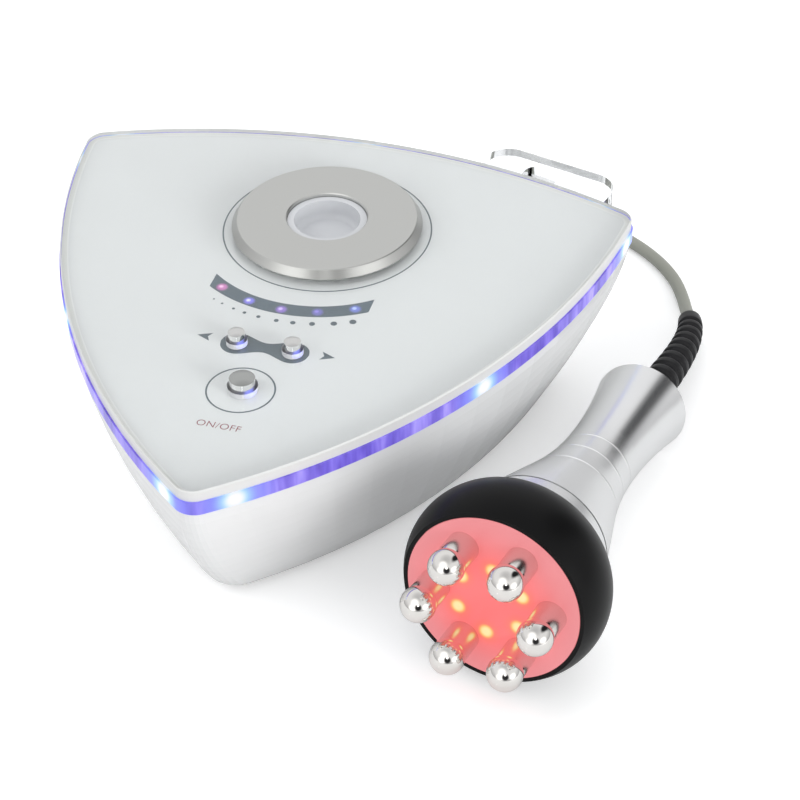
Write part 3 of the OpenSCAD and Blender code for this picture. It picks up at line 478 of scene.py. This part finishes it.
def diffuser_material():
    """Red, brighter in the middle, with six warm spots."""
    mat, nt, bsdf = new_material("diffuser_red")
    spots = head_ring(*GLOW_AT, 13.2, 0, 0)
    middle = glow_points(nt, [on_head(*GLOW_AT, 0)], 0.008, 0.035)
    near = glow_points(nt, spots, 0.0015, 0.0068)
    warm = glow_points(nt, spots, 0.0016, 0.0036)
    core = glow_points(nt, spots, 0.0009, 0.0028)
    body = mix_color(nt, middle, (0.60, 0.16, 0.17), (0.98, 0.085, 0.075))
    body = mix_color(nt, near, body, (1.0, 0.10, 0.03))
    body = mix_color(nt, warm, body, (1.0, 0.62, 0.03))
    body = mix_color(nt, core, body, (1.0, 0.95, 0.38))
    nt.links.new(body, bsdf.inputs["Emission Color"])
    bsdf.inputs["Emission Strength"].default_value = 0.72
    bsdf.inputs["Base Color"].default_value = (0.42, 0.16, 0.17, 1.0)
    bsdf.inputs["Roughness"].default_value = 0.35
    return mat


def electrode_material():
    """Polished balls on posts that are a little duller."""
    mat, nt, bsdf = new_material("electrode_chrome")
    bsdf.inputs["Metallic"].default_value = 1.0
    balls = head_ring(0, 0, 21.8, 24.8, -13.3)
    fac = noise(nt, 60.0, 4.0)
    nt.links.new(ramp(nt, fac, [(0.35, (0.78, 0.76, 0.73)), (0.65, (0.81, 0.79, 0.76))]),
                 bsdf.inputs["Base Color"])
    nt.links.new(spread(nt, glow_points(nt, balls, 0.0062, 0.0072), 0.20, 0.045),
                 bsdf.inputs["Roughness"])
    return mat


def lamp_material():
    """A small violet lamp."""
    mat, nt, bsdf = new_material("lamp_lens")
    bsdf.inputs["Base Color"].default_value = (0.5, 0.45, 0.9, 1.0)
    nt.links.new(ramp(nt, noise(nt, 300.0), [(0.3, (0.35, 0.3, 1.0)), (0.7, (0.75, 0.7, 1.0))]),
                 bsdf.inputs["Emission Color"])
    bsdf.inputs["Emission Strength"].default_value = 1.0
    bsdf.inputs["Roughness"].default_value = 0.2
    return mat


M["diffuser"] = diffuser_material()
M["steel"] = electrode_material()
M["lamp"] = lamp_material()

# The look of each CAD node
LOOKS = {
    "lower_housing": "housing", "light_band": "band", "band_strip": "dark", "band_leds": "lamp",
    "top_frame": "housing", "printed_film": "film", "top_panel": "panel", "metal_ring": "ring",
    "centre_cup": "cup", "on_off_button": "switch_cap", "level_down_button": "level_cap",
    "level_up_button": "level_cap", "control_board": "board", "key_switches": "dark",
    "level_lamps": "lamp", "ribbon_cable": "wire", "main_board": "board",
    "rf_transformer": "copper", "heat_sink": "sink", "capacitors": "dark",
    "board_screws": "screw", "housing_screws": "screw", "rubber_feet": "rubber",
    "handpiece_socket": "plug", "socket_nut": "plug", "power_inlet": "dark",
    "handpiece_holder": "holder", "head_bezel": "bezel", "diffuser_disc": "diffuser",
    "electrodes": "steel", "electrode_nuts": "brass", "head_board": "board",
    "head_leds": "lamp", "head_flange": "silver", "handle_shell": "silver",
    "rear_cap": "bezel", "wire_bundle": "wire", "strain_relief": "rubber",
    "cord_lead": "cord", "cord_coil": "cord", "cord_tail": "cord", "cord_plug": "plug",
    "plug_relief": "rubber",
}
for name, look in LOOKS.items():
    slots = nodes[name].material_slots
    for s in slots:
        s.material = M[look]
    if not slots:
        nodes[name].data.materials.append(M[look])


# ---- Cord: the route of the CAD model, smoothed, as one tube ----
CORD_R = 2.75
LEAD = [(138.3, 105.5, 4.9), (135.4, 115.6, 3), (130.8, 126, 2.8), (124.2, 135.6, 2.8),
        (115.6, 144.4, 2.8), (105.4, 152, 2.8), (94.5, 157.8, 2.8), (83, 161.5, 2.8),
        (71.5, 163.6, 2.8), (60, 164.6, 2.8), (48, 165, 3.2), (36, 164.8, 4.6),
        (24, 164.3, 6.9), (14, 163.8, 8.5), (6, 163.5, 8.9)]
TAIL = [(-48, 111, 20.9), (-47.9, 118.5, 17.6), (-47.5, 125, 12.9), (-46.2, 131.5, 8.2),
        (-43.7, 138.5, 4.7), (-39.6, 145.5, 3.1), (-34.2, 151.8, 2.8), (-27.6, 157.2, 2.8),
        (-20, 161.2, 2.8), (-12.8, 163.1, 2.8), (-6, 163.5, 2.8)]


def way(turn, drop):
    """A direction from its turn about Z and its drop, in degrees."""
    t, d = math.radians(turn), math.radians(drop)
    return Vector((math.cos(t) * math.cos(d), math.sin(t) * math.cos(d), -math.sin(d)))


TILT = math.degrees(math.asin(-(HEAD_TURN @ Vector((0, 0, 1))).z))
BOOT_START = HEAD / MM - CONSOLE + way(HEADING, TILT) * (HANDLE_END - 0.3)
BOOT_END = BOOT_START + Vector((8.8, 75.6, -10.8))
BOOT_CURVE = [BOOT_START, BOOT_START + 28 * way(HEADING, TILT), BOOT_END - 24 * way(104, 14),
              BOOT_END]


def bezier(q, t):
    """The point at t, from 0 to 1, on the curve of four points."""
    return ((1 - t) ** 3 * q[0] + 3 * t * (1 - t) ** 2 * q[1] + 3 * t * t * (1 - t) * q[2]
            + t ** 3 * q[3])


def coil_points(steps=48, turns=6, r=38.5, pitch=6.1, low=2.8, mid_y=125):
    """The coil: inwards on the lower layer, then outwards on the upper one."""
    out = []
    for k in range(turns * steps + 1):
        turn = k / steps - turns / 2
        rr = r - pitch * (turns / 2 - abs(turn))
        up = min(max(turn * 2 + 0.5, 0), 1)
        a = 2 * math.pi * turn
        out.append(Vector((rr * math.sin(a), mid_y + rr * math.cos(a), low + pitch * up)))
    return out


# Rear recess: the base's outline is smaller, bulges less and is moved forwards
BASE_SIDE, BASE_BULGE, BASE_SHIFT, RECESS_IN = 0.78 * SIDE, 0.101, 2, 12
RECESS_Y = BASE_SIDE / (2 * math.sqrt(3)) + BASE_BULGE * BASE_SIDE - BASE_SHIFT - RECESS_IN
PLUG_OFF, PLUG_LENGTH = 1.8, 44     # the plug's start in the recess, its length with relief


def make_cord():
    """The cord from the strain relief to the plug's relief."""
    tail_start = Vector((-48, RECESS_Y + PLUG_OFF + PLUG_LENGTH, 22))
    lead = catmull([BOOT_END] + [Vector(p) for p in LEAD], 3)
    tail = catmull([tail_start] + [Vector(p) for p in TAIL], 3)
    route = lead + list(reversed(coil_points())) + list(reversed(tail))
    path = [(p + CONSOLE) * MM for p in route]
    verts, faces = sweep(path, CORD_R * MM, 20)
    cord = new_piece("cord_tube", verts, faces, M["cord"], smooth=True, body=None)
    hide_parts("cord_lead", "cord_coil", "cord_tail")
    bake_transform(cord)


make_cord()


# ---- Strain relief: the same bend with rounded cuts ----
def make_strain_relief():
    """Rows along the bend, each with its place and the depth of its cut."""
    cuts, lo, hi, deep = 10, 0.13, 0.93, 1.1
    start_r, end_r = 8, 5
    rows = [(0.0, 0.5), (0.006, 0.15), (0.015, 0.0), (0.06, 0.0), (0.10, 0.0)]
    pitch = (hi - lo) / cuts
    for k in range(cuts):
        for f, d in ((0.0, 0.0), (0.05, 0.45), (0.12, 0.9), (0.18, 1.0), (0.34, 1.0), (0.40, 0.9),
                     (0.47, 0.45), (0.52, 0.0), (0.62, -0.06), (0.88, -0.06)):
            rows.append((lo + (k + f) * pitch, deep * d))
    rows += [(hi, 0.0), (0.97, 0.0), (0.99, 0.1), (1.0, 0.5)]
    path = [at(*bezier(BOOT_CURVE, t)) for t, _ in rows]
    radii = [(start_r + (end_r - start_r) * t - d) * MM for t, d in rows]
    verts, faces = sweep(path, radii, 40)
    boot = new_piece("strain_relief_ribbed", verts, faces, M["rubber"], smooth=True,
                     body="handpiece")
    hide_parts("strain_relief")


make_strain_relief()


# ---- Clear panel: the CAD shape, its underside lifted clear of the print ----
PRINT_Z = PANEL_Z + 0.03
GAP_Z = PANEL_Z + 0.07
FLAT = 0.9      # a face whose normal is less upright than this is an edge of the panel
HOLE_REACH = 9  # an edge nearer than this to a button's middle belongs to its hole


def make_panel():
    """The panel with clear faces, pale outer edges and pale walls of its holes."""
    mesh = nodes["top_panel"].data.copy()
    mesh.name = "panel_clear"
    for v in mesh.vertices:
        if v.co.z < (PANEL_Z + 0.02) * MM:
            v.co.z = GAP_Z * MM
    mesh.materials.clear()
    for look in ("panel", "rim", "hole"):
        mesh.materials.append(M[look])
    for face in mesh.polygons:
        if abs(face.normal.z) < FLAT:
            near_cap = min((face.center - at(x, y, face.center.z / MM)).length
                           for x, y, _ in CAPS) < HOLE_REACH * MM
            face.material_index = 2 if near_cap else 1
    panel = add_object("panel_clear", mesh)
    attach(panel, "root")
    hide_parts("top_panel")


make_panel()


# ---- Print under the clear panel, and a painted highlight along its edge ----
def flat_piece(name, outlines, mat):
    """Filled flat shapes, each a list of (x, y) in mm."""
    verts, faces = [], []
    for pts in outlines:
        start = len(verts)
        verts += [at(x, y, PRINT_Z) for x, y in pts]
        faces.append(tuple(range(start, len(verts))))
    return new_piece(name, verts, faces, mat)


def strip_piece(name, inner, outer, mat, closed, up=0.0):
    """A band between two lines of the same number of points."""
    n = len(inner)
    verts = [at(x, y, PRINT_Z + up) for x, y in list(inner) + list(outer)]
    last = n if closed else n - 1
    faces = [(i, (i + 1) % n, n + (i + 1) % n, n + i) for i in range(last)]
    return new_piece(name, verts, faces, mat)


def circle_points(cx, cy, r, n):
    """A circle as n points."""
    return [on_circle(cx, cy, r, 360 * k / n) for k in range(n)]


def ring_piece(name, middle, inner, outer, n):
    """A thin printed circle."""
    strip_piece(name, circle_points(*middle, inner, n), circle_points(*middle, outer, n),
                M["print"], True)


def outline(inset, corner_n=10, edge_n=40):
    """The panel's outline, inset by so many mm."""
    out = []
    for i in range(3):
        a = math.radians(120 * i - 90)
        for k in range(corner_n + 1):
            t = a - HALF + 2 * HALF * k / corner_n
            out.append((CORNER_C * math.cos(a) + (CORNER_R - inset) * math.cos(t),
                        CORNER_C * math.sin(a) + (CORNER_R - inset) * math.sin(t)))
        out += [edge_point(i, k / edge_n, inset) for k in range(1, edge_n)]
    return out


ARC_AT, ARC_HALF = (-0.8, 28.2), 31.9       # middle of the arc's circles, half its width
ARC_IN, ARC_OUT = 50.6, 57.2


def arc_line(r, n=48):
    """One edge of the arc, from left to right."""
    a = math.asin(ARC_HALF / r)
    turns = [-a + 2 * a * k / n for k in range(n + 1)]
    return [(r * math.sin(t) + ARC_AT[0], ARC_AT[1] - r * math.cos(t)) for t in turns]


# The five lamps: angle on their circle, shift to the left, and the colour of halo and core
LAMP_Y, LAMP_R = 27.6, 53.8
LAMPS = [(-120.6, 0.4, (0.62, 0.10, 0.42), (1.0, 0.55, 0.80)),
         (-105.3, 0.7, (0.18, 0.12, 0.80), (0.85, 0.80, 1.0)),
         (-90.0, 1.4, (0.24, 0.07, 0.55), (0.70, 0.50, 0.95)),
         (-74.7, 1.8, (0.10, 0.05, 0.42), (0.25, 0.16, 0.70)),
         (-59.4, 1.7, (0.10, 0.12, 0.62), (0.50, 0.60, 1.0))]


def arc_material():
    """Slate print with the glow of the five lamps under it."""
    mat, nt, bsdf = new_material("print_arc")
    slate = ramp(nt, noise(nt, 60.0), [(0.3, (0.060, 0.094, 0.120)), (0.7, (0.066, 0.101, 0.129))])
    nt.links.new(slate, bsdf.inputs["Base Color"])
    bsdf.inputs["Roughness"].default_value = 0.5
    color = BLACK
    for deg, shift, halo, core in LAMPS:
        x, y = on_circle(-shift, LAMP_Y, LAMP_R, deg)
        wide = glow_points(nt, [at(x, y, PRINT_Z)], 0.0010, 0.0030)
        small = glow_points(nt, [at(x - 0.4, y + 0.3, PRINT_Z)], 0.0002, 0.0014)
        color = mix_color(nt, small, mix_color(nt, wide, color, halo), core)
    nt.links.new(color, bsdf.inputs["Emission Color"])
    bsdf.inputs["Emission Strength"].default_value = 0.9
    return mat


M["arc"] = arc_material()
strip_piece("print_arc", arc_line(ARC_IN), arc_line(ARC_OUT), M["arc"], False)
# Under the clear rim: a paler strip, and a painted highlight of the panel's edge as a still paler
# line
strip_piece("film_border", outline(3.0), outline(0.35), M["border"], True)
strip_piece("film_edge_highlight", outline(3.0), outline(2.45), M["line"], True, 0.012)
# Ten dots, growing to the right, on a circle that is turned a little, as in the photo
DOTS = [-117.4, -113.3, -108.1, -103.4, -97.8, -91.0, -85.0, -78.2, -70.6, -63.9]
DOT_Y, DOT_R, DOT_TURN = 28.3, 61.5, 0.86


def dot(k, deg):
    """The outline of one dot."""
    x, y = on_circle(0, DOT_Y, DOT_R, deg)
    return circle_points(x, y + DOT_TURN * math.cos(math.radians(deg)), 0.4 + 0.95 * k / 9, 24)


flat_piece("print_dots", [dot(k, deg) for k, deg in enumerate(DOTS)], M["print"])
ring_piece("print_ring_circle", RING_AT, 41.35, 41.95, 160)
ring_piece("print_switch_circle", (-0.7, SWITCH_Y - 0.4), 12.15, 12.8, 96)
LOBE_R, WAIST = 6.3, 2.9        # of the key pad: round each button, and half its waist


def key_pad():
    """The grey pad round the two level buttons, waisted between them."""
    top, low = [], []
    n, end = 60, LEVEL_X + LOBE_R
    for k in range(n + 1):
        x = -end + 2 * end * k / n
        past, t = abs(x) - LEVEL_X, abs(x) / LEVEL_X
        if past > 0:
            lobe = math.sqrt(max(0.0, LOBE_R ** 2 - past ** 2))
        else:
            lobe = WAIST + (LOBE_R - WAIST) * (t * t * (3 - 2 * t))
        top.append((x, LEVEL_Y + lobe * 0.92))
        low.append((x, LEVEL_Y - lobe))
    strip_piece("print_key_pad", low, top, M["print"], False)


key_pad()


def arrow(sign):
    """An arrow head beside the pad, notched behind; sign 1 points right."""
    x, y = sign * 24, LEVEL_Y + 1
    return [(x + sign * 2.9, y), (x - sign * 2.6, y + 2.4), (x - sign * 1.3, y),
            (x - sign * 2.6, y - 2.4)]


flat_piece("print_arrows", [arrow(-1), list(reversed(arrow(1)))], M["print"])


def switch_words():
    """The switch's label, as flat letters."""
    curve = bpy.data.curves.new("print_on_off", "FONT")
    curve.body = "ON/OFF"
    curve.size = 4.45 * MM
    curve.align_x = "CENTER"
    curve.align_y = "CENTER"
    curve.offset = -0.00003
    curve.space_character = 1.05
    text = add_object("print_on_off", curve)
    text.location = at(-1.8, SWITCH_Y - 21.2, PRINT_Z)
    bpy.context.view_layer.update()
    mesh = bpy.data.meshes.new_from_object(text)
    mesh.transform(text.matrix_world)
    bpy.data.objects.remove(text)
    words = add_object("print_on_off", mesh)
    mesh.materials.clear()
    mesh.materials.append(M["red"])
    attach(words, "root")


switch_words()


# ---- Table, world and lamps ----
FLOOR_LIFT = 0.32       # light added where the table is seen, to reach the photo's white


def make_floor():
    """A white table, lifted towards white only where the camera sees it."""
    mat, nt, bsdf = new_material("table_white")
    bsdf.inputs["Base Color"].default_value = (0.86, 0.86, 0.86, 1.0)
    bsdf.inputs["Roughness"].default_value = 0.6
    rays = nt.nodes.new("ShaderNodeLightPath").outputs
    seen = value_math(nt, "MAXIMUM", rays["Is Camera Ray"], rays["Is Transmission Ray"])
    glow = nt.nodes.new("ShaderNodeEmission")
    nt.links.new(value_math(nt, "MULTIPLY", seen, FLOOR_LIFT), glow.inputs["Strength"])
    add = nt.nodes.new("ShaderNodeAddShader")
    nt.links.new(bsdf.outputs["BSDF"], add.inputs[0])
    nt.links.new(glow.outputs["Emission"], add.inputs[1])
    nt.links.new(add.outputs["Shader"], nt.nodes["Material Output"].inputs["Surface"])
    mesh = bpy.data.meshes.new("table")
    half, z = 3.0, -0.0001
    corners = [(-half, -half, z), (half, -half, z), (half, half, z), (-half, half, z)]
    mesh.from_pydata(corners, [], [(0, 1, 2, 3)])
    mesh.materials.append(mat)
    add_object("table", mesh)


# What polished metal mirrors besides the sky: three bright windows in front and at the
# right, a dark patch in front, a dark one behind at the right, and a flash.
# Each has its direction, stretch, inner and outer reach, and colour.
PATCHES = [
    ((-0.20, -0.62, 0.75), (1.0, 1.0, 1.0), 0.22, 0.60, (1.5, 1.5, 1.5)),
    ((-0.35, -0.90, 0.26), (1.0, 1.0, 1.3), 0.22, 0.55, (1.6, 1.6, 1.6)),
    ((0.84, -0.42, 0.28), (1.0, 1.0, 1.3), 0.22, 0.50, (1.6, 1.6, 1.6)),
    ((0.24, -0.87, 0.40), (1.0, 1.0, 1.0), 0.24, 0.44, (0.03, 0.03, 0.032)),
    ((0.56, 0.56, 0.57), (1.7, 0.6, 0.6), 0.20, 0.46, (0.02, 0.02, 0.022)),
    ((0.20, -0.76, 0.62), (1.0, 1.0, 1.0), 0.06, 0.16, (3.0, 3.0, 3.0)),
]


def make_world():
    """White to the camera, even light on matt faces, contrast for what mirrors it."""
    world = bpy.data.worlds.new("studio")
    scene.world = world
    world.use_nodes = True
    nt = world.node_tree
    back = nt.nodes["Background"]
    tex = nt.nodes.new("ShaderNodeTexCoord")
    sep = nt.nodes.new("ShaderNodeSeparateXYZ")
    nt.links.new(tex.outputs["Generated"], sep.inputs["Vector"])
    sky = ramp(nt, fade(nt, sep.outputs["Z"], -1.0, 1.0, "LINEAR"),
               [(0.0, (0.8, 0.8, 0.8)), (0.495, (0.75, 0.75, 0.75)), (0.505, (0.50, 0.50, 0.51)),
                (0.58, (0.66, 0.66, 0.67)), (0.72, (0.92, 0.92, 0.93)), (0.88, (0.92, 0.92, 0.93)),
                (1.0, (0.62, 0.62, 0.63))])
    for where, stretch, inner, outer, value in PATCHES:
        away = vector_math(nt, "SUBTRACT", tex.outputs["Generated"], where).outputs["Vector"]
        wide = vector_math(nt, "MULTIPLY", away, stretch).outputs["Vector"]
        far = vector_math(nt, "LENGTH", wide).outputs["Value"]
        sky = mix_color(nt, fade(nt, far, inner, outer, "SMOOTHSTEP"), value, sky)
    light = nt.nodes.new("ShaderNodeLightPath")
    color = mix_color(nt, light.outputs["Is Diffuse Ray"], sky, (0.80, 0.81, 0.82))
    color = mix_color(nt, light.outputs["Is Camera Ray"], color, (1.0, 1.0, 1.0))
    nt.links.new(color, back.inputs["Color"])
    back.inputs["Strength"].default_value = 1.0


# The lamps: name, place, size and power; all of them face the same point
AIM = Vector((0, 0, 0.03))
AREAS = [("key", (-0.9, -0.5, 1.0), (0.8, 0.8), 3.5), ("fill", (1.3, -0.7, 0.5), (0.8, 0.6), 9.0),
         ("front", (0.3, -1.4, 0.5), (0.9, 0.5), 0.8), ("top", (0.0, 0.5, 1.3), (1.0, 0.6), 2.0)]


def area(name, where, size, power):
    """An area lamp that polished metal doesn't mirror."""
    data = bpy.data.lights.new(name, "AREA")
    data.shape = "RECTANGLE"
    data.size, data.size_y = size
    data.energy = power
    lamp = add_object(name, data)
    lamp.location = where
    lamp.visible_glossy = False
    lamp.rotation_euler = (AIM - Vector(where)).to_track_quat("-Z", "Y").to_euler()


make_floor()
make_world()
for spec in AREAS:
    area(*spec)
